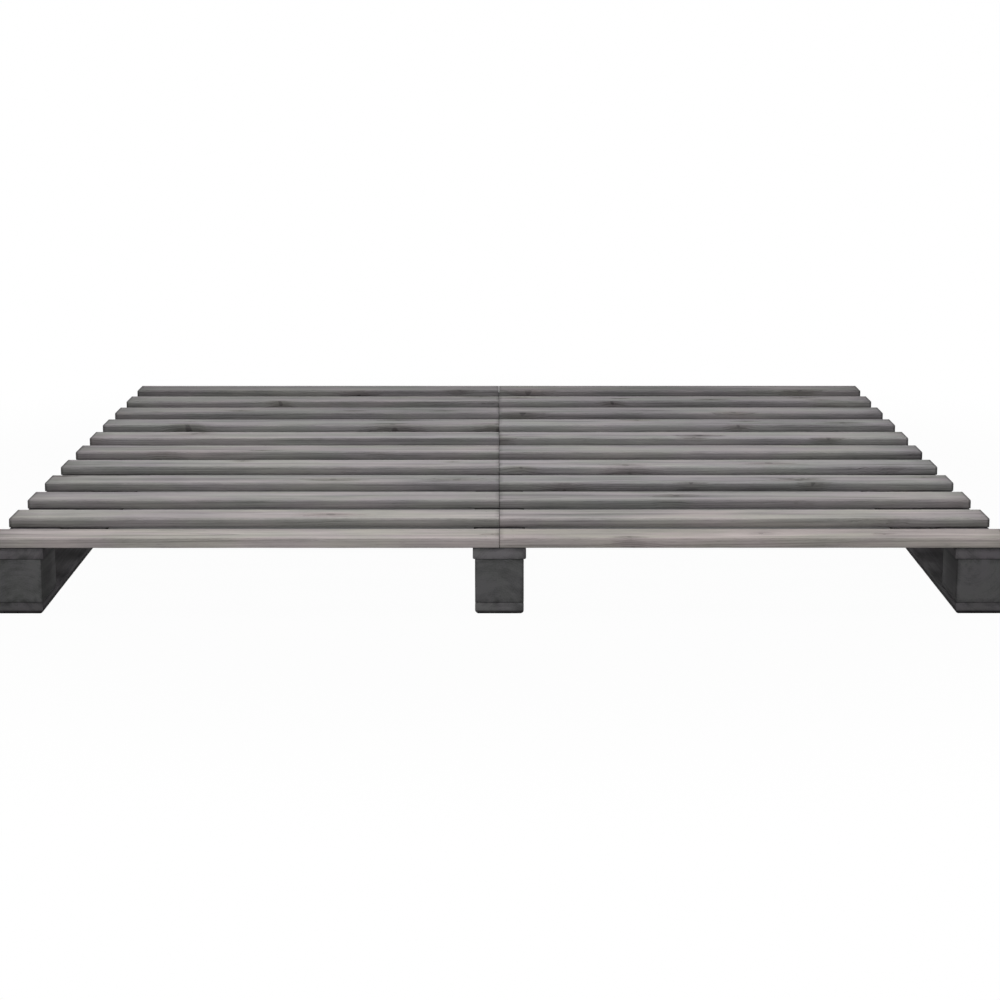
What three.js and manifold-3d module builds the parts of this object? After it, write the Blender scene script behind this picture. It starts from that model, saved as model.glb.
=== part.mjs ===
// Low pallet bed in stained pine. Three runners, each a top board, three blocks and a bottom board,
// carry eleven rows of slats. Each row is two slats that meet end to end over the centre runner.
// Millimetres, +Z up. The origin is on the floor under the middle of the bed, the foot end is at -Y.

import * as THREE from "three";
import { mergeVertices } from "three/addons/utils/BufferGeometryUtils.js";
import Module from "manifold-3d";

// Whole bed
const bedWidth = 2000; // across both slats of a row, along X
const bedLength = 2000; // from the first row to the last, along Y
const restGap = 0.3; // air between two faces that rest on each other

// Slats
const slatRows = 11;
const slatWidth = 95;
const slatThickness = 19;
const slatTopRadius = 3;
const slatFootRadius = 2.5;
const slatEndEase = 1;
const slatSeam = 1.5; // between the two slats of a row
const slatOverhang = 1; // of a slat's outer end past the top board below it

// Top boards of the runners
const topBoardWidth = 105;
const topBoardThickness = 22;
const topBoardRadius = 3;

// Blocks
const blockWidth = 96;
const blockLength = 146;
const blockHeight = 87;
const blockRadius = 3;

// Bottom boards of the runners
const bottomBoardWidth = 96;
const bottomBoardThickness = 22;
const bottomBoardRadius = 4;

// Small bevel on the sawn ends of boards and blocks
const sawnEdgeEase = 1.5;

// Countersunk screws that hold the boards to the blocks
const screwLength = 70;
const screwTipLength = 8;
const screwRadius = 3;
const screwHeadRadius = 6;
const screwHeadRim = 0.8;
const screwHeadDepth = 4;
const screwSink = 0.5; // of the head under the board's face
const screwSpread = 35; // from the middle of a block, along the runner
const screwClearance = 0.3;
const socketRadius = 2.4;
const socketDepth = 2.2;

// How far a cutter reaches past the face that it opens
const cutOverrun = 2;

// Steps in a quarter round, and round a screw
const cornerSteps = 4;
const screwSides = 12;
const socketSides = 6;

// Levels, from the floor up
const blockFoot = bottomBoardThickness + restGap;
const topBoardFoot = blockFoot + blockHeight + restGap;
const topBoardTop = topBoardFoot + topBoardThickness;
const slatFoot = topBoardTop + restGap;

// Places along and across the bed
const slatLength = (bedWidth - slatSeam) / 2;
const slatCentre = (bedWidth - slatLength) / 2;
const slatPitch = (bedLength - slatWidth) / (slatRows - 1);
const sideRunnerCentre = bedWidth / 2 - slatOverhang - topBoardWidth / 2;
const endBlockCentre = (bedLength - blockLength) / 2;

// Each runner by its place across the bed, and each block by its place along the bed.
// A top screw stands towards the end of the bed that its block is nearer to, a bottom screw away from it.
const runners = [
  { side: "left", x: -sideRunnerCentre },
  { side: "centre", x: 0 },
  { side: "right", x: sideRunnerCentre },
];
const stations = [
  { place: "front", y: -endBlockCentre, outward: -1 },
  { place: "middle", y: 0, outward: -1 },
  { place: "rear", y: endBlockCentre, outward: 1 },
];

const warmGreyWash = { color: 0xa6a09c, roughness: 0.72, metalness: 0 };
const coolGreyWash = { color: 0x989797, roughness: 0.74, metalness: 0 };
const charcoalStain = { color: 0x5f5f61, roughness: 0.66, metalness: 0 };
const zincSteel = { color: 0x8d9094, roughness: 0.38, metalness: 1 };

const wasm = await Module();
wasm.setup();

// A closed three.js geometry as a solid for cutting.
function solidOf(geometry) {
  const bare = geometry.clone();
  bare.deleteAttribute("normal");
  bare.deleteAttribute("uv");
  const merged = mergeVertices(bare);
  return new wasm.Manifold(
    new wasm.Mesh({
      numProp: 3,
      vertProperties: merged.attributes.position.array,
      triVerts: new Uint32Array(merged.index.array),
    }),
  );
}

// A cut solid as a three.js geometry again.
function geometryOf(solid) {
  const { vertProperties, triVerts } = solid.getMesh();
  const geometry = new THREE.BufferGeometry();
  geometry.setAttribute("position", new THREE.BufferAttribute(vertProperties, 3));
  geometry.setIndex(new THREE.BufferAttribute(triVerts, 1));
  geometry.computeVertexNormals();
  return geometry;
}

// The piece less each cutter.
function drilled(geometry, cutters) {
  return geometryOf(cutters.reduce((rest, cutter) => rest.subtract(solidOf(cutter)), solidOf(geometry)));
}

// A rectangle about the origin, with one radius on its two lower corners and one on its two upper ones.
function roundedOutline(width, height, lowerRadius, upperRadius) {
  const corners = [
    { right: 1, up: -1, radius: lowerRadius, start: -Math.PI / 2 },
    { right: 1, up: 1, radius: upperRadius, start: 0 },
    { right: -1, up: 1, radius: upperRadius, start: Math.PI / 2 },
    { right: -1, up: -1, radius: lowerRadius, start: Math.PI },
  ];
  const points = corners.flatMap(({ right, up, radius, start }) =>
    Array.from({ length: cornerSteps + 1 }, (_, step) => {
      const angle = start + ((Math.PI / 2) * step) / cornerSteps;
      return new THREE.Vector2(
        right * (width / 2 - radius) + radius * Math.cos(angle),
        up * (height / 2 - radius) + radius * Math.sin(angle),
      );
    }),
  );
  return new THREE.Shape(points);
}

// The outline carried along Z for a length, about the origin, with a small bevel round both ends.
function easedBar(outline, length, ease) {
  return new THREE.ExtrudeGeometry(outline, {
    depth: length - 2 * ease,
    bevelThickness: ease,
    bevelSize: ease,
    bevelOffset: -ease,
    bevelSegments: 1,
  }).translate(0, 0, ease - length / 2);
}

// A slat lies along X, with its two long top edges a little rounder than the lower ones.
function slatGeometry() {
  const section = roundedOutline(slatWidth, slatThickness, slatFootRadius, slatTopRadius);
  return easedBar(section, slatLength, slatEndEase)
    .rotateY(Math.PI / 2)
    .rotateX(Math.PI / 2);
}

// A runner's board lies along Y. Its lower face is at the height of 0.
function boardGeometry(width, thickness, radius) {
  const section = roundedOutline(width, thickness, radius, radius);
  return easedBar(section, bedLength, sawnEdgeEase)
    .rotateX(Math.PI / 2)
    .translate(0, 0, thickness / 2);
}

// A block stands upright, with rounded vertical edges. Its lower face is at the height of 0.
function blockGeometry() {
  const section = roundedOutline(blockWidth, blockLength, blockRadius, blockRadius);
  return easedBar(section, blockHeight, sawnEdgeEase).translate(0, 0, blockHeight / 2);
}

// A profile of radius and height turned about Z.
function turned(profile) {
  const points = profile.map(([radius, height]) => new THREE.Vector2(radius, height));
  return new THREE.LatheGeometry(points, screwSides).rotateX(Math.PI / 2);
}

// A screw points down, with the top of its head at the height of 0 and a hexagon socket in it.
function screwGeometry() {
  const body = turned([
    [0, -screwLength],
    [screwRadius, screwTipLength - screwLength],
    [screwRadius, -screwHeadDepth],
    [screwHeadRadius, -screwHeadRim],
    [screwHeadRadius, 0],
    [0, 0],
  ]);
  const socketHeight = socketDepth + cutOverrun;
  const socket = new THREE.CylinderGeometry(socketRadius, socketRadius, socketHeight, socketSides)
    .rotateX(Math.PI / 2)
    .translate(0, 0, cutOverrun - socketHeight / 2);
  return drilled(body, [socket]);
}

// The room that a screw needs, open above its head.
function screwRoom() {
  const shaft = screwRadius + screwClearance;
  const head = screwHeadRadius + screwClearance;
  const foot = -screwLength - screwClearance;
  return turned([
    [0, foot],
    [shaft, foot],
    [shaft, -screwHeadDepth],
    [head, -screwHeadRim],
    [head, screwSink + cutOverrun],
    [0, screwSink + cutOverrun],
  ]);
}

// Heights of the tops of the screw heads, and where the two screws stand from a block's middle
const topScrewHeight = topBoardTop - screwSink;
const bottomScrewHeight = screwSink;
const topScrewY = ({ y, outward }) => y + outward * screwSpread;
const bottomScrewY = ({ y, outward }) => y - outward * screwSpread;

// A screw's room, moved to its place in a piece whose own lower face is at footHeight.
const topRoom = (y, footHeight) => screwRoom().translate(0, y, topScrewHeight - footHeight);
const bottomRoom = (y, footHeight) =>
  screwRoom()
    .rotateX(Math.PI)
    .translate(0, y, bottomScrewHeight - footHeight);

const bed = new THREE.Group();

function place(parent, name, geometry, finish, x, y, z) {
  const mesh = new THREE.Mesh(geometry, new THREE.MeshStandardMaterial({ ...finish, flatShading: true }));
  mesh.name = name;
  mesh.position.set(x, y, z);
  parent.add(mesh);
}

function addRunner({ side, x }) {
  const runner = new THREE.Group();
  runner.position.x = x;
  bed.add(runner);

  const bottomBoard = boardGeometry(bottomBoardWidth, bottomBoardThickness, bottomBoardRadius);
  const bottomHoles = stations.map((station) => bottomRoom(bottomScrewY(station), 0));
  place(runner, `bottom_board_${side}`, drilled(bottomBoard, bottomHoles), charcoalStain, 0, 0, 0);

  const topBoard = boardGeometry(topBoardWidth, topBoardThickness, topBoardRadius);
  const topHoles = stations.map((station) => topRoom(topScrewY(station), topBoardFoot));
  place(runner, `top_board_${side}`, drilled(topBoard, topHoles), charcoalStain, 0, 0, topBoardFoot);

  stations.forEach((station) => {
    const holes = [
      topRoom(topScrewY(station) - station.y, blockFoot),
      bottomRoom(bottomScrewY(station) - station.y, blockFoot),
    ];
    const block = drilled(blockGeometry(), holes);
    place(runner, `block_${side}_${station.place}`, block, charcoalStain, 0, station.y, blockFoot);

    const topScrew = `top_screw_${side}_${station.place}`;
    place(runner, topScrew, screwGeometry(), zincSteel, 0, topScrewY(station), topScrewHeight);

    const bottomScrew = `bottom_screw_${side}_${station.place}`;
    const pointingUp = screwGeometry().rotateX(Math.PI);
    place(runner, bottomScrew, pointingUp, zincSteel, 0, bottomScrewY(station), bottomScrewHeight);
  });
}

function addSlatRow(row) {
  const number = String(row + 1).padStart(2, "0");
  const y = row * slatPitch - (bedLength - slatWidth) / 2;
  const z = slatFoot + slatThickness / 2;
  const finish = row % 3 === 0 ? warmGreyWash : coolGreyWash;
  place(bed, `slat_left_${number}`, slatGeometry(), finish, -slatCentre, y, z);
  place(bed, `slat_right_${number}`, slatGeometry(), finish, slatCentre, y, z);
}

runners.forEach(addRunner);
for (let row = 0; row < slatRows; row += 1) addSlatRow(row);

export default bed;
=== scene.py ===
"""Looks of a low pallet bed: grey-washed pine slats on three charcoal-stained runners.

Metres, +Z up, the foot end towards -Y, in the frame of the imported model.
"""

import math

import bpy
import numpy as np
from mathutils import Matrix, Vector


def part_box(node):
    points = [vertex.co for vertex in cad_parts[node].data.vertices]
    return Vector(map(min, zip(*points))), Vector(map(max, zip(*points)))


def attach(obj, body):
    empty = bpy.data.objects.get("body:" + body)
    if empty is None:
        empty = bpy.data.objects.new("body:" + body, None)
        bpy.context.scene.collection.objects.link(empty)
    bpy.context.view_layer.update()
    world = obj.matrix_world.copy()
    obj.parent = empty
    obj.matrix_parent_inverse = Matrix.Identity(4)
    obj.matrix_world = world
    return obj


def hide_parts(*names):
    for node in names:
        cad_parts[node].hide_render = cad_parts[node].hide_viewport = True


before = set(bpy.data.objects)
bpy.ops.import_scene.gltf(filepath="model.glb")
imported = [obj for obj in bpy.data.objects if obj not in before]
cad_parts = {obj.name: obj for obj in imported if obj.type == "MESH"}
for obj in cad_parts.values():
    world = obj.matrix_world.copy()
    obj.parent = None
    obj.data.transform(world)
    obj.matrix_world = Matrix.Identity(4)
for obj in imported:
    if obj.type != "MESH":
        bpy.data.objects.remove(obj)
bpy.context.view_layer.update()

MM = 0.001

# Edges of the pieces
SLAT_TOP_RADIUS = 4.5 * MM
SLAT_FOOT_RADIUS = 2.5 * MM
TOP_BOARD_RADIUS = 3 * MM
BOTTOM_BOARD_RADIUS = 5 * MM
BOTTOM_BOARD_FOOT_RADIUS = 6.5 * MM
BLOCK_RADIUS = 3 * MM
SAWN_EASE = 1.1 * MM
SLAT_EASE = 1.4 * MM

# How the surfaces are divided
CORNER_STEPS = 6
EASE_STEPS = 3
WIDE_FLAT_STEPS = 7
NARROW_FLAT_STEPS = 3
STATION_PITCH = 11 * MM
BLOCK_STATION_PITCH = 5 * MM

# Small faults of planed and sawn timber, all inwards, and their wavelengths in metres
HOLLOW = 0.12 * MM
HOLLOW_WAVES = (0.61, 0.23, 0.11)
NICK = 0.55 * MM
NICK_WAVES = (0.37, 0.083, 0.031)

# How far these faults shift along a piece: the hollows once round its section, the nicks from one
# corner to the next
HOLLOW_SHIFT = 0.3
NICK_SHIFT = 2.0

# Pins that fasten a slat to the top boards, and the holes for the pins and for the screws' heads
PIN_RADIUS = 1.5 * MM
PIN_SINK = 0.45 * MM
PIN_DOME = 0.2 * MM
PIN_DOME_TURN = math.pi / 2.2
PIN_DOME_RINGS = 4
PIN_SIDES = 10
PIN_LENGTH = 4 * MM
PIN_SPREAD = 24 * MM
PIN_HOLE_RADIUS = 1.75 * MM
PIN_HOLE_FLOOR_RADIUS = 1.4 * MM
PIN_HOLE_DEPTH = 0.9 * MM
SCREW_HOLE_RADIUS = 6.3 * MM
SCREW_HOLE_DEPTH = 5 * MM
HOLE_SIDES = 20
CUT_OVERRUN = 2 * MM

# How far end grain, wear with its painted edge shade, and each kind of grime and painted shade reach into
# a piece. The haze is the faint part of the painted shade and grime at an end.
END_REACH = 0.8 * MM
EDGE_REACH = 10 * MM
RIM_GRIME_AND_SHADE_REACH = 8 * MM
CONTACT_SHADE_REACH = 15 * MM
END_GRIME_AND_SHADE_REACH = 9 * MM
HAZE_REACH = 55 * MM
HAZE_SHARE = 0.3

# Grime and painted shade at the two ends of each kind of piece, along its foot and its top, and up its
# long faces from the floor. On the slats it is all painted shade: darker ends and a darker rim round the
# top. Along a top board's top it is a painted shadow of the slats, and along a bottom board's foot and up
# its faces it is painted contact shade where it stands on the floor.
SLAT_PAINTED_SHADE = (0.95, 0.05, 0.0, 0.22, 0.0)
TOP_BOARD_GRIME_AND_SHADE = (0.1, 0.1, 0.1, 0.5, 0.0)
BLOCK_GRIME = (0.0, 0.0, 0.05, 0.05, 0.0)
BOTTOM_BOARD_GRIME_AND_SHADE = (0.1, 0.1, 1.6, 0.05, 2.6)

# How far the slats' inner ends stand from the bed's middle, as a share of their solids'. At the full
# distance daylight would show through the far seams.
SEAM_SHARE = 0.42

SHARP_ANGLE = math.radians(38)

SLAT_ROWS = 11
SIDES = ("left", "right")
PLACES = ("front", "middle", "rear")


# Numbers on surfaces


class Value:
    """A number that varies over a surface. Arithmetic on it adds Math nodes to its tree."""

    def __init__(self, tree, socket):
        self.tree = tree
        self.socket = socket

    def __add__(self, other):
        return self.tree.math("ADD", self, other)

    def __sub__(self, other):
        return self.tree.math("SUBTRACT", self, other)

    def __rsub__(self, other):
        return self.tree.math("SUBTRACT", other, self)

    def __mul__(self, other):
        return self.tree.math("MULTIPLY", self, other)

    def __truediv__(self, other):
        return self.tree.math("DIVIDE", self, other)

    __radd__ = __add__
    __rmul__ = __mul__


class Tree:
    """The node tree of a material or of the world."""

    def __init__(self, owner):
        owner.use_nodes = True
        self.owner = owner
        self.nodes = owner.node_tree.nodes
        self.links = owner.node_tree.links
        self.nodes.clear()

    def node(self, kind, settings, inputs, output=0):
        """One output of a new node. Settings go on first, and stops are a ramp's places and greys."""
        made = self.nodes.new(kind)
        for name, setting in settings.items():
            if name == "stops":
                self.set_stops(made.color_ramp, setting)
            else:
                setattr(made, name, setting)
        for name, value in inputs.items():
            if isinstance(value, Value):
                self.links.new(value.socket, made.inputs[name])
            else:
                made.inputs[name].default_value = value
        return Value(self, made.outputs[output])

    @staticmethod
    def set_stops(ramp, stops):
        while len(ramp.elements) < len(stops):
            ramp.elements.new(1.0)
        for element, (place, value) in zip(ramp.elements, stops):
            element.position = place
            element.color = (value, value, value, 1.0)

    def math(self, operation, *values, clamp=False):
        settings = {"operation": operation, "use_clamp": clamp}
        return self.node("ShaderNodeMath", settings, dict(enumerate(values)))

    def size(self, value):
        return self.math("ABSOLUTE", value)

    def least(self, first, second):
        return self.math("MINIMUM", first, second)

    def most(self, first, second):
        return self.math("MAXIMUM", first, second)

    def near(self, distance, reach):
        """1 at a distance of 0, falling evenly to 0 at reach."""
        return self.math("SUBTRACT", 1.0, distance / reach, clamp=True)

    def vector(self, operation, *values, output=0):
        settings = {"operation": operation}
        return self.node("ShaderNodeVectorMath", settings, dict(enumerate(values)), output)

    def split(self, vector):
        return [self.node("ShaderNodeSeparateXYZ", {}, {0: vector}, axis) for axis in range(3)]

    def joined(self, *numbers):
        return self.node("ShaderNodeCombineXYZ", {}, dict(enumerate(numbers)))

    def attribute(self, name):
        return self.node("ShaderNodeAttribute", {"attribute_name": name}, {}, "Vector")

    def noise(self, where, stretch, detail):
        """Noise from 0 to 1 over a vector in metres, with stretch features to the metre on each axis."""
        scaled = self.vector("MULTIPLY", where, stretch)
        values = {"Vector": scaled, "Scale": 1.0, "Detail": detail, "Roughness": 0.5}
        return self.node("ShaderNodeTexNoise", {}, values)

    def swing(self, where, stretch, detail):
        """The same noise from -0.5 to 0.5."""
        return self.noise(where, stretch, detail) - 0.5

    def ramp(self, value, stops):
        return self.node("ShaderNodeValToRGB", {"stops": stops}, {0: value})

    def smooth(self, value, low, high):
        """0 below low, 1 above high, and a smooth step between."""
        values = {"Value": value, "From Min": low, "From Max": high, "To Min": 0.0, "To Max": 1.0}
        return self.node("ShaderNodeMapRange", {"interpolation_type": "SMOOTHSTEP"}, values)

    def mix(self, factor, first, second, blend="MIX"):
        """A mix of colours, which are the node's sockets 6 and 7 and its output 2."""
        settings = {"data_type": "RGBA", "blend_type": blend}
        return self.node("ShaderNodeMix", settings, {0: factor, 6: first, 7: second}, 2)

    def grey(self, value):
        return self.node("ShaderNodeCombineColor", {}, {0: value, 1: value, 2: value})

    def seen_directly(self):
        """1 for rays from the camera, off gloss and through glass, and 0 for gathered light."""
        outputs = ("Is Camera Ray", "Is Glossy Ray", "Is Transmission Ray")
        camera, gloss, glass = (self.node("ShaderNodeLightPath", {}, {}, output) for output in outputs)
        return self.most(self.most(camera, gloss), glass)

    def finish(self, output, shader):
        """Links the shader to a new output node and returns what the tree belongs to."""
        self.links.new(shader.socket, self.nodes.new(output).inputs["Surface"])
        return self.owner


# Timber

# Noises: features to the metre along the trunk and across it, then the detail. Streaks, fibres and
# pores follow the growth rings and the turn round the trunk, which counts TURN_REACH for a radian.
WANDER = ((1.4, 8.0, 8.0), 2.0)
KNOT_WOBBLE = ((55.0, 80.0, 80.0), 2.0)
STREAKS = ((1.2, 75.0, 30.0), 3.0)
FIBRES = ((11.0, 520.0, 420.0), 3.0)
PORES = ((45.0, 900.0, 700.0), 1.0)
SAW_MARKS = ((1.0, 60.0, 1100.0), 2.0)
CLOUDS = ((2.4, 8.0, 8.0), 2.0)
PATCHES = ((9.0, 30.0, 30.0), 3.0)
WEAR = ((14.0, 60.0, 60.0), 3.0)
DRIFT = ((5.0, 18.0, 18.0), 2.0)
TURN_REACH = 60 * MM

# Where pores, wear and the drift of the tint set in and are complete, on their noises from 0 to 1
PORE_EDGE = (0.6, 0.78)
WEAR_EDGE = (0.4, 0.66)
DRIFT_EDGE = (0.38, 0.62)

# How dark a ring grows through its year, and how much of that a poor year and a good year keep
YEAR_STOPS = [(0.0, 0.05), (0.45, 0.1), (0.78, 0.55), (0.92, 1.0), (1.0, 0.05)]
POOR_YEAR = 0.45
GOOD_YEAR = 1.2
RING_PITCH = 4.6 * MM
RING_WANDER = 12 * MM
TRUNK_TAPER = 0.0075

# Branches leave the trunk's middle line like spokes, one or none in each cell along and around the
# trunk. The thinnest and the thickest are given by their radius for each metre from that line.
BRANCH_CELL = (0.27, 0.85)  # metres, radians
CELL_RANDOMNESS = 0.85
BRANCH_SHARE = 0.33
BRANCH_THIN = 0.055
BRANCH_THICK = 0.17
BRANCH_LEAN = 0.35
FLOW_STRETCH = 3.2  # how much further a knot bends the grain along the trunk than across it
FLOW_BEND = 0.9
KNOT_RING_PITCH = 1.5 * MM
WOBBLE_SHARE = 0.5

# Where a knot, its bark and the bent grain fade, as shares of the branch's radius
KNOT_EDGE = (0.6, 1.15)
BARK_EDGE = (0.6, 0.95)
FLOW_EDGE = (0.4, 3.2)

# How much of the light grime and painted shade take, and how much that varies in patches. How much of
# an end's grime and painted shade its bare end grain is spared.
GRIME_AND_SHADE_DARKNESS = 0.88
GRIME_AND_SHADE_PATCHES = 0.8
END_GRAIN_SPARED = 0.7

# Wear and painted edge shade on an edge where they are least
LEAST_WEAR = 0.5

WOOD_GLOSS = 0.05
BUMP_DEPTH = 0.5 * MM

# How much each feature of the wood counts: in how light the stain is, in its warmth, in the relief and
# in the roughness. Each stain adds its own shares to the first.
PLAIN_LEVEL = 0.69
LEVEL_SHARES = {
    "streak": 0.8,
    "fibre": 0.4,
    "cloud": 0.5,
    "patch": 0.3,
    "pore": -0.16,
    "saw": 0.15,
    "flow": -0.25,
    "knot": -0.14,
    "knot_ring": -0.08,
    "bark": -0.14,
}
# The worn_and_edge_shade share of the level darkens the wood along its edges: wear, and painted shade on
# the rounded edges. Its share of the roughness is wear.
WASH_SHARES = {"late_wood": -0.22, "end": -0.12, "worn_and_edge_shade": -0.1}
CHARCOAL_SHARES = {"late_wood": -0.1, "end": 0.3, "worn_and_edge_shade": -0.22}
WARMTH_SHARES = {"cloud": 1.1, "patch": 0.7, "flow": 0.35}
RELIEF_SHARES = {
    "fibre": 0.6,
    "late_wood": 0.35,
    "streak": 0.4,
    "patch": 0.3,
    "bark": -1.2,
    "pore": -0.5,
    "saw": 0.8,
}
ROUGHNESS_SHARES = {"fibre": 0.14, "end": 0.1, "late_wood": -0.07, "knot": -0.1, "worn_and_edge_shade": 0.05}

# How light the stain is from the open dark grain to the bare face of the wood
WASH_LEVELS = [(0.0, 0.06), (0.3, 0.19), (0.62, 0.35), (1.0, 0.52)]
CHARCOAL_LEVELS = [(0.0, 0.018), (0.3, 0.06), (0.62, 0.098), (1.0, 0.17)]

# Tints of the stain: cool and warm, and the olive and rose that drift through both
WASH_TINTS = [
    (0.99, 1.0, 1.04, 1.0),
    (1.13, 1.0, 0.91, 1.0),
    (1.0, 1.0, 0.9, 1.0),
    (1.13, 1.0, 1.04, 1.0),
]
CHARCOAL_TINTS = [
    (0.99, 1.0, 1.0, 1.0),
    (1.15, 1.0, 1.14, 1.0),
    (0.99, 1.0, 0.98, 1.0),
    (1.03, 1.0, 1.04, 1.0),
]
DRIFT_SHARE = 0.5


def weighed(start, shares, features):
    """The start plus each feature times its share."""
    return sum((features[name] * share for name, share in shares.items()), start)


def knots(tree, trunk, along, out, turn):
    """Knots of branches that stand in cells along and around the trunk.

    A knot is a cone round a spoke from the trunk's middle line, so it is round on a flat face and long
    on an edge. Gives the features by name, and how far outwards the knot bends the growth rings.
    """
    cell_place = tree.joined(along / BRANCH_CELL[0], turn / BRANCH_CELL[1], 0.0)
    cells = {"voronoi_dimensions": "2D", "feature": "F1"}
    cell_inputs = {"Vector": cell_place, "Scale": 1.0, "Randomness": CELL_RANDOMNESS}
    branch_place = tree.node("ShaderNodeTexVoronoi", cells, cell_inputs, "Position")
    branch_along, branch_turn, _ = tree.split(tree.vector("SUBTRACT", cell_place, branch_place))
    chance, size, dryness = tree.split(tree.node("ShaderNodeTexVoronoi", cells, cell_inputs, "Color"))
    present = tree.math("LESS_THAN", chance, BRANCH_SHARE)
    wobble = 1.0 + tree.swing(trunk, *KNOT_WOBBLE) * WOBBLE_SHARE
    lengthwise = branch_along * BRANCH_CELL[0] - out * BRANCH_LEAN
    around = branch_turn * out * BRANCH_CELL[1]
    radius = out * (size * (BRANCH_THICK - BRANCH_THIN) + BRANCH_THIN)
    from_branch = tree.vector("LENGTH", tree.joined(lengthwise, around, 0.0), output="Value") * wobble
    stretched = tree.joined(lengthwise / FLOW_STRETCH, around, 0.0)
    flow_reach = tree.vector("LENGTH", stretched, output="Value") * wobble
    knot = (1.0 - tree.smooth(from_branch / radius, *KNOT_EDGE)) * present
    bark = tree.smooth(from_branch / radius, *BARK_EDGE) * knot * dryness
    flow = (1.0 - tree.smooth(flow_reach / radius, *FLOW_EDGE)) * present
    ring = 0.5 + 0.5 * tree.math("SINE", from_branch * (2 * math.pi / KNOT_RING_PITCH))
    features = {"knot": knot, "knot_ring": knot * ring, "bark": bark, "flow": flow}
    return features, flow * radius * FLOW_BEND


def rim_grime(tree, foot, top, end):
    """Grime and painted shade that thin evenly away from the foot and the top, and painted contact shade
    from the floor up the long faces.
    """
    foot_grime_and_shade, top_shade_and_grime, contact_shade_share = tree.split(tree.attribute("rim_grime"))
    foot_line = tree.near(foot, RIM_GRIME_AND_SHADE_REACH) * foot_grime_and_shade
    top_line = tree.near(top, RIM_GRIME_AND_SHADE_REACH) * top_shade_and_grime
    contact_shade = tree.near(foot, CONTACT_SHADE_REACH) * contact_shade_share * (1.0 - end)
    return tree.least(tree.most(tree.most(foot_line, top_line), contact_shade), 1.0)


def end_grime(tree, low_end, high_end, end):
    """Grime and painted shade that thin evenly away from each end: a dark line and a long haze. Bare end
    grain has less.
    """
    low_share, high_share, _ = tree.split(tree.attribute("end_grime"))
    grime = 0.0
    for distance, share in ((low_end, low_share), (high_end, high_share)):
        line = tree.near(distance, END_GRIME_AND_SHADE_REACH)
        haze = tree.near(distance, HAZE_REACH) * HAZE_SHARE
        grime = tree.most(grime, tree.most(line, haze) * share)
    return grime * (1.0 - end * END_GRAIN_SPARED)


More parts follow.
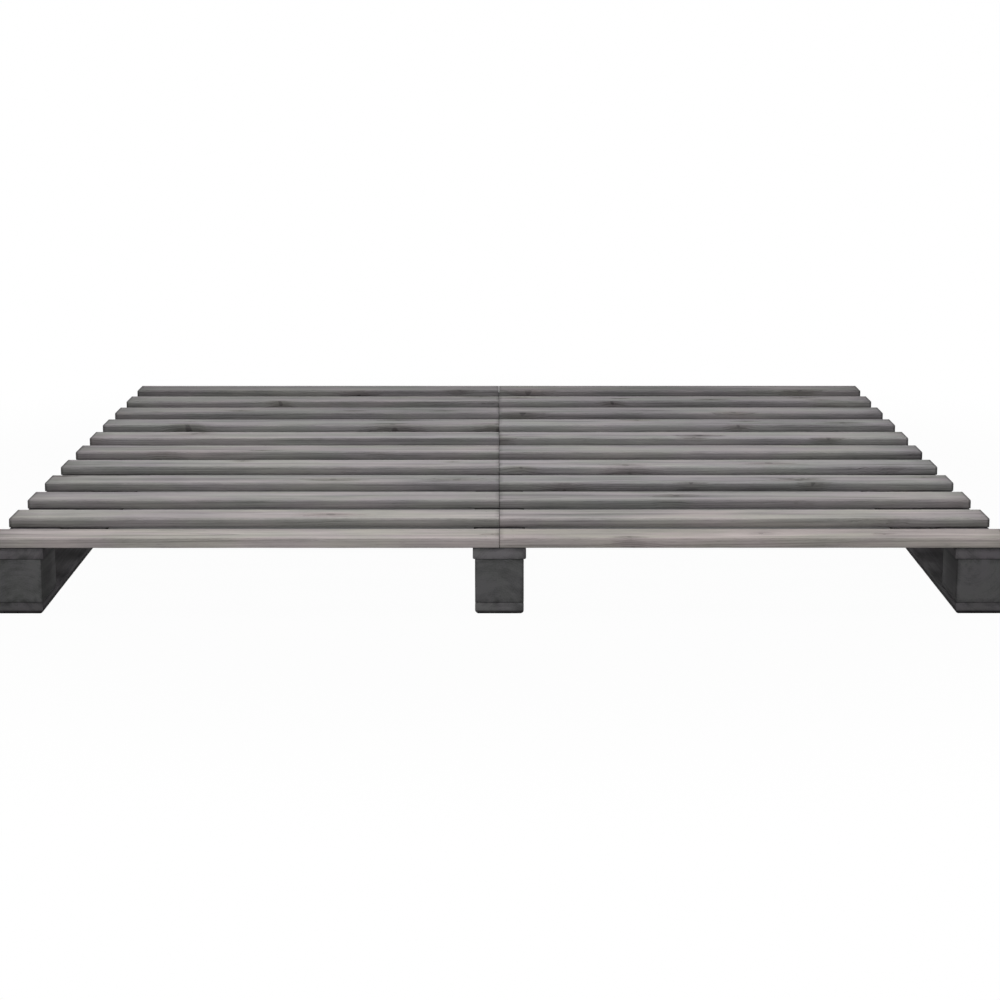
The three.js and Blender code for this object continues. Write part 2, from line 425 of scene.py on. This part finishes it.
def timber(name, levels, tints, own_shares, roughness, relief):
    """Stained pine as one solid, so that rings, grain and knots run on round every edge.

    Growth rings are cylinders round the trunk's middle line, bent by noise and by the knots. Grain,
    pores and clouds are noise drawn out along the trunk. saw_from_trunk tells what the piece's
    attributes hold.
    """
    tree = Tree(bpy.data.materials.new(name))
    trunk = tree.attribute("trunk")
    face_tone, end_tone, warmth = tree.split(tree.attribute("stain"))
    low_end, low_side, foot = tree.split(tree.attribute("from_low"))
    high_end, high_side, top = tree.split(tree.attribute("from_high"))
    along, aside, above = tree.split(trunk)
    out = tree.vector("LENGTH", tree.joined(0.0, aside, above), output="Value")
    turn = tree.math("ARCTAN2", above, aside)

    from_end = tree.least(low_end, high_end)
    from_side = tree.least(low_side, high_side)
    from_rim = tree.least(foot, top)
    nearer = tree.least(from_side, from_rim)
    farther = tree.most(from_side, from_rim)
    end = tree.near(from_end, END_REACH)
    edge = tree.near(tree.most(nearer, tree.least(farther, from_end)), EDGE_REACH)
    outer = tree.near(tree.least(from_side, from_end), EDGE_REACH)
    # Grime and painted shade: the slats' darker ends and top rim are painted shade, a top board's top line
    # is a painted shadow of the slats and a bottom board's foot is painted contact shade
    grime = tree.most(rim_grime(tree, foot, top, end) * outer, end_grime(tree, low_end, high_end, end))

    marks, bend = knots(tree, trunk, along, out, turn)
    ring_reach = out + tree.swing(trunk, *WANDER) * RING_WANDER + along * TRUNK_TAPER + bend
    season = tree.math("FRACT", ring_reach / RING_PITCH)
    year = tree.math("FLOOR", ring_reach / RING_PITCH)
    chance = tree.node("ShaderNodeTexWhiteNoise", {"noise_dimensions": "1D"}, {"W": year}, "Value")
    harvest = POOR_YEAR + chance * (GOOD_YEAR - POOR_YEAR)
    grain = tree.joined(along, ring_reach, turn * TURN_REACH)
    patch = tree.swing(trunk, *PATCHES)
    wood = {
        **marks,
        "late_wood": tree.ramp(season, YEAR_STOPS) * harvest,
        "streak": tree.swing(grain, *STREAKS),
        "fibre": tree.swing(grain, *FIBRES),
        "pore": tree.smooth(tree.noise(grain, *PORES), *PORE_EDGE),
        "cloud": tree.swing(trunk, *CLOUDS),
        "patch": patch,
        "end": end,
        "saw": tree.swing(trunk, *SAW_MARKS) * end,
        # Wear along the edges, which the level shares also darken as painted edge shade
        "worn_and_edge_shade": (tree.smooth(tree.noise(trunk, *WEAR), *WEAR_EDGE) + LEAST_WEAR) * edge,
    }

    tone = face_tone + (end_tone - face_tone) * end
    # Darkens the tone by the grime and painted shade
    tone = tone * (1.0 - grime * (GRIME_AND_SHADE_DARKNESS + patch * GRIME_AND_SHADE_PATCHES))
    level = weighed(PLAIN_LEVEL, {**LEVEL_SHARES, **own_shares}, wood)
    cool, warm, olive, rose = tints
    hue = tree.math("ADD", warmth, weighed(0.0, WARMTH_SHARES, wood), clamp=True)
    drift = tree.smooth(tree.noise(trunk, *DRIFT), *DRIFT_EDGE)
    tint = tree.mix(DRIFT_SHARE, tree.mix(hue, cool, warm), tree.mix(drift, olive, rose))
    height = weighed(0.0, RELIEF_SHARES, wood)
    bump = {"Height": height, "Strength": relief, "Distance": BUMP_DEPTH}
    values = {
        "Base Color": tree.mix(1.0, tint, tree.grey(tree.ramp(level, levels) * tone), "MULTIPLY"),
        "Roughness": weighed(roughness, ROUGHNESS_SHARES, wood),
        "Normal": tree.node("ShaderNodeBump", {}, bump),
        "Specular IOR Level": WOOD_GLOSS,
    }
    return tree.finish("ShaderNodeOutputMaterial", tree.node("ShaderNodeBsdfPrincipled", {}, values))


ZINC_COLOUR = (0.31, 0.32, 0.34, 1.0)
ZINC_GRIME_COLOUR = (0.16, 0.15, 0.14, 1.0)
ZINC_METALLIC = 0.9
ZINC_ROUGHNESS = 0.4
SPANGLE = ((700.0, 700.0, 700.0), 3.0)
SPANGLE_ROUGHNESS = 0.25
ZINC_GRIME = ((260.0, 260.0, 260.0), 2.0)
ZINC_GRIME_EDGE = (0.45, 0.75)
ZINC_GRIME_ROUGHNESS = 0.2


def zinc(name):
    """Dull zinc plate: cloudy spangle in the roughness and a little brown in the tone."""
    tree = Tree(bpy.data.materials.new(name))
    where = tree.node("ShaderNodeTexCoord", {}, {}, "Object")
    spangle = tree.noise(where, *SPANGLE)
    grime = tree.smooth(tree.noise(where, *ZINC_GRIME), *ZINC_GRIME_EDGE)
    values = {
        "Base Color": tree.mix(grime, ZINC_COLOUR, ZINC_GRIME_COLOUR),
        "Metallic": ZINC_METALLIC,
        "Roughness": ZINC_ROUGHNESS + spangle * SPANGLE_ROUGHNESS + grime * ZINC_GRIME_ROUGHNESS,
    }
    return tree.finish("ShaderNodeOutputMaterial", tree.node("ShaderNodeBsdfPrincipled", {}, values))


# Surfaces


class Solid:
    """Points in rings of equal length, with walls between the rings and a cap on each end."""

    def __init__(self, points, around, rings):
        ring = np.arange(around)
        after = np.roll(ring, -1)
        foot = np.arange(rings - 1)[:, None] * around
        wall = np.stack([foot + ring, foot + after, foot + around + after, foot + around + ring], -1)
        self.points = points
        self.walls = wall.reshape(-1, 4)
        self.caps = np.stack([ring[::-1], ring + (rings - 1) * around])


def rounded_section(width, height, lower_radius, upper_radius, wide_steps, narrow_steps):
    """Points and outward normals of a rectangle with rounded corners.

    They run anticlockwise from the lower right corner. Each corner is a quarter circle in
    CORNER_STEPS steps, and each flat side is divided evenly.
    """
    lower = ((1, -1, lower_radius), (-1, -1, lower_radius))
    upper = ((1, 1, upper_radius), (-1, 1, upper_radius))
    corners = (lower[0], *upper, lower[1])
    flats = (narrow_steps, wide_steps, narrow_steps, wide_steps)
    arcs = []
    for quarter, (right, up, radius) in enumerate(corners):
        angle = (quarter - 1 + np.linspace(0, 1, CORNER_STEPS + 1)) * math.pi / 2
        normal = np.stack([np.cos(angle), np.sin(angle)], 1)
        centre = np.array([right * (width / 2 - radius), up * (height / 2 - radius)])
        arcs.append((centre + radius * normal, normal))
    points, normals = [], []
    for (here, facing), (after, _), steps in zip(arcs, arcs[1:] + arcs[:1], flats):
        share = np.linspace(0, 1, steps + 1)[1:-1, None]
        points += [here, here[-1] * (1 - share) + after[0] * share]
        normals += [facing, np.repeat(facing[-1:], len(share), 0)]
    return np.concatenate(points), np.concatenate(normals)


def ripple(places, lengths, rng):
    """A sum of sines of the given wavelengths with random phases, from -1 to 1, at each place."""
    phases = rng.uniform(0, 2 * math.pi, len(lengths))
    waves = np.sin(2 * math.pi * places[..., None] / np.array(lengths) + phases)
    return waves.mean(-1)


def eased_solid(low, high, axis, lower_radius, upper_radius, ease, pitch, rng):
    """A length of timber between two corners, its section carried along an axis.

    The surface is a function of place round the section and place along the axis. The section shrinks
    by a quarter circle at both ends, and both ends are closed with one flat face. Small hollows
    everywhere and nicks at the corners move the surface inwards.
    """
    size = np.subtract(high, low)
    middle = np.add(high, low) / 2
    across, up = {0: (1, 2), 1: (0, 2), 2: (0, 1)}[axis]
    points, normals = rounded_section(
        size[across], size[up], lower_radius, upper_radius, WIDE_FLAT_STEPS, NARROW_FLAT_STEPS
    )
    half = size[axis] / 2
    angle = np.linspace(0, 1, EASE_STEPS + 1) * math.pi / 2
    end_places = half - ease * (1 - np.cos(angle))
    end_insets = ease * (1 - np.sin(angle))
    steps = max(2, round(2 * (half - ease) / pitch))
    inner = np.linspace(ease - half, half - ease, steps + 1)[1:-1]
    places = np.concatenate([-end_places, inner, end_places[::-1]])
    insets = np.concatenate([end_insets, np.zeros(len(inner)), end_insets[::-1]])

    round_section = np.linspace(0, 1, len(points), endpoint=False)
    corner = np.abs(2 * normals[:, 0] * normals[:, 1])
    corner_number = np.round(4 * round_section)
    hollow = ripple(places[:, None] + HOLLOW_SHIFT * round_section, HOLLOW_WAVES, rng)
    nicks = ripple(places[:, None] + NICK_SHIFT * corner_number, NICK_WAVES, rng)
    inwards = HOLLOW * (1 + hollow) + NICK * corner * np.clip(nicks, 0, 1) ** 2
    inwards = inwards + insets[:, None]

    section = points - normals * inwards[..., None]
    vertices = np.empty((len(places), len(points), 3))
    vertices[..., axis] = places[:, None]
    vertices[..., across] = section[..., 0]
    vertices[..., up] = section[..., 1]
    vertices += middle

    if axis == 1:
        vertices = vertices[::-1]
    return Solid(vertices.reshape(-1, 3), len(points), len(places))


def turned(profile, sides, centre):
    """A closed profile of (radius, height) turned about an upright line at centre."""
    angle = np.arange(sides) * 2 * math.pi / sides
    radius, height = np.array(profile).T
    vertices = np.empty((len(profile), sides, 3))
    vertices[..., 0] = centre[0] + radius[:, None] * np.cos(angle)
    vertices[..., 1] = centre[1] + radius[:, None] * np.sin(angle)
    vertices[..., 2] = centre[2] + height[:, None]
    return Solid(vertices.reshape(-1, 3), sides, len(profile))


def mesh_object(name, points, faces):
    """A new object of points and faces, in the scene."""
    mesh = bpy.data.meshes.new(name)
    mesh.from_pydata(points.tolist(), [], faces)
    mesh.update()
    made = bpy.data.objects.new(name, mesh)
    bpy.context.scene.collection.objects.link(made)
    return made


def solid_object(name, *solids):
    """Solids, each made of its own points, as one mesh."""
    starts = np.cumsum([0] + [len(solid.points) for solid in solids[:-1]])
    walls = np.concatenate([solid.walls + start for solid, start in zip(solids, starts)])
    caps = np.concatenate([solid.caps + start for solid, start in zip(solids, starts)])
    points = np.concatenate([solid.points for solid in solids])
    return mesh_object(name, points, walls.tolist() + caps.tolist())


def cut(piece, solids):
    """Takes the solids out of the piece."""
    cutter = solid_object("cutter", *solids)
    difference = piece.modifiers.new("holes", "BOOLEAN")
    difference.operation = "DIFFERENCE"
    difference.solver = "EXACT"
    difference.object = cutter
    evaluated = piece.evaluated_get(bpy.context.evaluated_depsgraph_get())
    mesh = bpy.data.meshes.new_from_object(evaluated)
    piece.modifiers.clear()
    whole = piece.data
    piece.data = mesh
    bpy.data.meshes.remove(whole)
    bpy.data.meshes.remove(cutter.data)
    mesh.name = piece.name


# Where a piece lies in its trunk, in metres: the place along it, and the trunk's middle line to one
# side of the piece's middle and above or below it
TRUNK_LENGTH = 40
MOST_ASIDE = 0.03
ABOVE_OR_BELOW = (0.035, 0.075)


def set_attribute(mesh, name, vectors):
    attribute = mesh.attributes.new(name, "FLOAT_VECTOR", "POINT")
    attribute.data.foreach_set("vector", vectors.astype(np.float32).ravel())


def saw_from_trunk(piece, low, high, grain_axis, stain, grime, rng):
    """Gives each point its place in the trunk, its distances from the faces, its stain and its grime and
    painted shade.

    The first number of trunk runs along the grain, the others are the distances across from the
    trunk's middle line. The numbers of from_low and from_high are the distances from an end, a side
    and the foot or the top. The stain's are the tone of the long faces, the tone of the sawn ends and
    the warmth. The grime's are shares of grime and painted shade for the low end and the high end, for
    the foot and the top, and for painted contact shade splashed up from the floor.
    """
    mesh = piece.data
    places = np.empty(len(mesh.vertices) * 3, np.float32)
    mesh.vertices.foreach_get("co", places)
    order = [grain_axis] + [axis for axis in range(3) if axis != grain_axis]
    places = places.reshape(-1, 3)[:, order]
    low = np.array(low)[order]
    high = np.array(high)[order]
    pith = [rng.uniform(-MOST_ASIDE, MOST_ASIDE), rng.choice([-1, 1]) * rng.uniform(*ABOVE_OR_BELOW)]
    start = np.array([rng.uniform(0, TRUNK_LENGTH), *pith])
    set_attribute(mesh, "trunk", places - (low + high) / 2 + start)
    set_attribute(mesh, "from_low", places - low)
    set_attribute(mesh, "from_high", high - places)
    low_end, high_end, *rims = grime
    for name, numbers in (
        ("stain", stain),
        ("end_grime", [low_end, high_end, 0.0]),
        ("rim_grime", rims),
    ):
        set_attribute(mesh, name, np.tile(numbers, (len(places), 1)))


def finish_piece(piece, node, material):
    """Gives a piece its material, smooth faces between sharp edges and its body, and hides the node it
    stands for.
    """
    mesh = piece.data
    mesh.materials.clear()
    mesh.materials.append(material)
    mesh.polygons.foreach_set("use_smooth", np.ones(len(mesh.polygons), bool))
    mesh.set_sharp_from_angle(angle=SHARP_ANGLE)
    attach(piece, "root")
    if node:
        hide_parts(node)


# Pieces


def pin_places(node, side):
    """The four places of a slat's pins: two over the centre runner and two over its side runner."""
    low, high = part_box(node)
    top_low, top_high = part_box(f"top_board_{side}")
    centre_low, centre_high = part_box("top_board_centre")
    outer = (top_low.x + top_high.x) / 2
    inner = (low.x + centre_high.x) / 2 if side == "right" else (high.x + centre_low.x) / 2
    middle = (low.y + high.y) / 2
    return [(x, middle + way * PIN_SPREAD, high.z) for x in (outer, inner) for way in (-1, 1)]


def make_slat(side, row, wash, tone, warmth, rng):
    """A slat with four pin holes, its inner end moved closer to the seam."""
    node = f"slat_{side}_{row:02d}"
    low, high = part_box(node)
    inner = high if side == "left" else low
    inner.x *= SEAM_SHARE
    solid = eased_solid(low, high, 0, SLAT_FOOT_RADIUS, SLAT_TOP_RADIUS, SLAT_EASE, STATION_PITCH, rng)
    piece = solid_object(f"{node}_board", solid)
    hole = [
        (PIN_HOLE_FLOOR_RADIUS, -PIN_HOLE_DEPTH),
        (PIN_HOLE_RADIUS, 0.0),
        (PIN_HOLE_RADIUS, CUT_OVERRUN),
    ]
    cut(piece, [turned(hole, HOLE_SIDES, place) for place in pin_places(node, side)])
    # Painted shade at the slat's ends and round the rim of its top
    outer_end, inner_end, *rims = SLAT_PAINTED_SHADE
    ends = (outer_end, inner_end) if side == "left" else (inner_end, outer_end)
    saw_from_trunk(piece, low, high, 0, (tone, tone, warmth), (*ends, *rims), rng)
    finish_piece(piece, node, wash)


def make_board(level, side, radii, stain, tone, warmth, rng):
    """A runner's board, with a round hole for each screw's head in its outer face."""
    node = f"{level}_board_{side}"
    low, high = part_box(node)
    solid = eased_solid(low, high, 1, *radii, SAWN_EASE, STATION_PITCH, rng)
    piece = solid_object(f"{node}_timber", solid)
    upper = level == "top"
    face = high.z if upper else low.z
    reach = (-SCREW_HOLE_DEPTH, CUT_OVERRUN) if upper else (-CUT_OVERRUN, SCREW_HOLE_DEPTH)
    hole = [(SCREW_HOLE_RADIUS, height) for height in reach]
    boxes = [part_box(f"{level}_screw_{side}_{place}") for place in PLACES]
    cut(piece, [turned(hole, HOLE_SIDES, ((a.x + b.x) / 2, (a.y + b.y) / 2, face)) for a, b in boxes])
    # Grime and painted shade: a painted shadow of the slats along a top board's top, painted contact shade
    # along a bottom board's foot
    grime = TOP_BOARD_GRIME_AND_SHADE if upper else BOTTOM_BOARD_GRIME_AND_SHADE
    # A bottom board's long faces are made lighter than its ends: painted light
    face_tone = tone if upper else tone * BOTTOM_FACE_PAINTED_LIGHT
    saw_from_trunk(piece, low, high, 1, (face_tone, tone, warmth), grime, rng)
    finish_piece(piece, node, stain)


def make_block(node, stain, tone, rng):
    """A block with rounded upright edges. Its grain lies along the bed."""
    low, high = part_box(node)
    solid = eased_solid(low, high, 2, BLOCK_RADIUS, BLOCK_RADIUS, SAWN_EASE, BLOCK_STATION_PITCH, rng)
    piece = solid_object(f"{node}_timber", solid)
    saw_from_trunk(piece, low, high, 1, (tone, tone, BLOCK_WARMTH), BLOCK_GRIME, rng)
    finish_piece(piece, node, stain)


def make_pins(steel):
    """All the pins as one piece. A pin's head is a low dome, sunk under the face of its slat."""
    rises = np.linspace(0, 1, PIN_DOME_RINGS)
    dome = [(PIN_RADIUS * math.cos(rise * PIN_DOME_TURN), PIN_DOME * rise - PIN_SINK) for rise in rises]
    profile = [(PIN_RADIUS, -PIN_LENGTH), *dome]
    places = [
        place
        for side in SIDES
        for row in range(1, SLAT_ROWS + 1)
        for place in pin_places(f"slat_{side}_{row:02d}", side)
    ]
    piece = solid_object("slat_pins", *[turned(profile, PIN_SIDES, place) for place in places])
    finish_piece(piece, None, steel)


# Stain of each slat from the foot end to the head end: tone, then warmth on the left and on the right
SLAT_STAIN_SHARES = (
    (0.93, 0.75, 0.95),
    (0.91, 0.45, 0.5),
    (0.79, 0.25, 0.2),
    (0.78, 0.15, 0.1),
    (0.9, 0.25, 0.1),
    (0.79, 0.3, 0.15),
    (0.88, 0.15, 0.15),
    (0.89, 0.1, 0.0),
    (0.78, 0.15, 0.05),
    (0.87, 0.2, 0.15),
    (0.77, 0.2, 0.2),
)

# Tone of the stain on each runner's top board, blocks and bottom board, then the boards' warmth
RUNNER_STAIN_SHARES = {
    "left": (0.77, 0.67, 0.59, 0.8),
    "centre": (0.95, 0.63, 0.83, 0.4),
    "right": (0.7, 0.59, 0.59, 0.8),
}

BLOCK_WARMTH = 0.0

# How light a bottom board's long faces are beside its sawn ends, a painted light that lifts its shaded top
# face between the blocks, and how warm it is beside a top board
BOTTOM_FACE_PAINTED_LIGHT = 1.7
BOTTOM_WARMTH_SHARE = 0.6

# The stain of a slat or a block is this much lighter or darker by chance
TONE_SPREAD = (0.97, 1.03)
SEED = 41


def make_bed():
    """All the pieces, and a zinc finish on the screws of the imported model."""
    rng = np.random.default_rng(SEED)
    wash = timber("grey_washed_pine", WASH_LEVELS, WASH_TINTS, WASH_SHARES, roughness=0.7, relief=0.4)
    stain = timber(
        "charcoal_stained_pine",
        CHARCOAL_LEVELS,
        CHARCOAL_TINTS,
        CHARCOAL_SHARES,
        roughness=0.76,
        relief=0.35,
    )
    steel = zinc("zinc_plated_steel")
    for row, (tone, *warmths) in enumerate(SLAT_STAIN_SHARES, 1):
        for side, warmth in zip(SIDES, warmths):
            make_slat(side, row, wash, tone * rng.uniform(*TONE_SPREAD), warmth, rng)
    top_radii = (TOP_BOARD_RADIUS, TOP_BOARD_RADIUS)
    bottom_radii = (BOTTOM_BOARD_FOOT_RADIUS, BOTTOM_BOARD_RADIUS)
    for side, (top_tone, block_tone, bottom_tone, warmth) in RUNNER_STAIN_SHARES.items():
        make_board("top", side, top_radii, stain, top_tone, warmth, rng)
        make_board("bottom", side, bottom_radii, stain, bottom_tone, warmth * BOTTOM_WARMTH_SHARE, rng)
        for place in PLACES:
            make_block(f"block_{side}_{place}", stain, block_tone * rng.uniform(*TONE_SPREAD), rng)
    make_pins(steel)
    for name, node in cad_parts.items():
        if "_screw_" in name:
            node.data.materials.clear()
            node.data.materials.append(steel)


# Camera, floor and light

CAMERA_PLACE = (-0.003, -5.4191, 1.1225)
CAMERA_TILT = math.radians(11.441)
CAMERA_TURN = math.radians(-0.054)
CAMERA_LENS = 83.2
CAMERA_REACH = 200.0

FLOOR_SIZE = 60.0
FLOOR_DROP = 0.4 * MM
FLOOR_COLOUR = (0.3, 0.3, 0.3, 1.0)
WHITE = (1.0, 1.0, 1.0, 1.0)

# Shares of the shadow that show, and where each fades, in metres. The deep one fades to the sides, to
# the foot end and to the head end, the faint one all round.
FAINT_SHADOW = 0.025
DEEP_SHADOW = 0.97
SIDE_FADE = (0.92, 1.0)
FOOT_FADE = (-0.44, -0.2)
HEAD_FADE = (0.95, 1.15)
ROUND_FADE = (1.3, 2.4)

WORLD_LEVEL = 0.15


def make_camera():
    data = bpy.data.cameras.new("camera")
    data.lens = CAMERA_LENS
    data.clip_end = CAMERA_REACH
    camera = bpy.data.objects.new("camera", data)
    camera.location = CAMERA_PLACE
    camera.rotation_euler = (math.pi / 2 - CAMERA_TILT, 0.0, CAMERA_TURN)
    bpy.context.scene.collection.objects.link(camera)
    bpy.context.scene.camera = camera


def make_floor():
    """A pale floor, white to the camera, that keeps the bed's shadow.

    The shadow is deep under the deck, except under its foot end, and faint round the bed.
    """
    tree = Tree(bpy.data.materials.new("pale_floor"))
    where = tree.node("ShaderNodeTexCoord", {}, {}, "Object")
    across, along, _ = tree.split(where)
    under_deck = (1.0 - tree.smooth(tree.size(across), *SIDE_FADE)) * tree.smooth(along, *FOOT_FADE)
    under_deck = under_deck * (1.0 - tree.smooth(along, *HEAD_FADE))
    round_bed = 1.0 - tree.smooth(tree.vector("LENGTH", where, output="Value"), *ROUND_FADE)
    kept = under_deck * (DEEP_SHADOW - FAINT_SHADOW) + round_bed * FAINT_SHADOW
    plain = tree.node("ShaderNodeBsdfDiffuse", {}, {"Color": FLOOR_COLOUR})
    white = tree.node("ShaderNodeEmission", {}, {"Color": WHITE, "Strength": 1.0})
    lit = tree.seen_directly() * (1.0 - kept)
    shader = tree.node("ShaderNodeMixShader", {}, {0: lit, 1: plain, 2: white})
    half = FLOOR_SIZE / 2
    corners = np.array([(-half, -half), (half, -half), (half, half), (-half, half)])
    floor = mesh_object("floor", np.insert(corners, 2, -FLOOR_DROP, axis=1), [[0, 1, 2, 3]])
    floor.data.materials.append(tree.finish("ShaderNodeOutputMaterial", shader))


def make_world():
    """Soft light from all round, and a white background behind the bed and in its gloss."""
    tree = Tree(bpy.data.worlds.new("studio"))
    soft = tree.node("ShaderNodeBackground", {}, {"Color": WHITE, "Strength": WORLD_LEVEL})
    white = tree.node("ShaderNodeBackground", {}, {"Color": WHITE, "Strength": 1.0})
    shader = tree.node("ShaderNodeMixShader", {}, {0: tree.seen_directly(), 1: soft, 2: white})
    bpy.context.scene.world = tree.finish("ShaderNodeOutputWorld", shader)


def make_light(name, place, turn, size, power, spread):
    """A flat lamp, turned about X from facing down."""
    data = bpy.data.lights.new(name, "AREA")
    data.shape = "RECTANGLE"
    data.size, data.size_y = size
    data.energy = power
    data.spread = math.radians(spread)
    light = bpy.data.objects.new(name, data)
    light.location = place
    light.rotation_euler = (math.radians(turn), 0.0, 0.0)
    bpy.context.scene.collection.objects.link(light)


make_camera()
make_floor()
make_world()
make_light("overhead", (0.0, -0.75, 3.0), turn=0.0, size=(5.0, 3.3), power=50.0, spread=98.0)
make_light("front_fill", (0.0, -7.0, 0.78), turn=90.0, size=(5.0, 1.55), power=145.0, spread=180.0)
make_bed()

bpy.context.scene.view_settings.view_transform = "Standard"
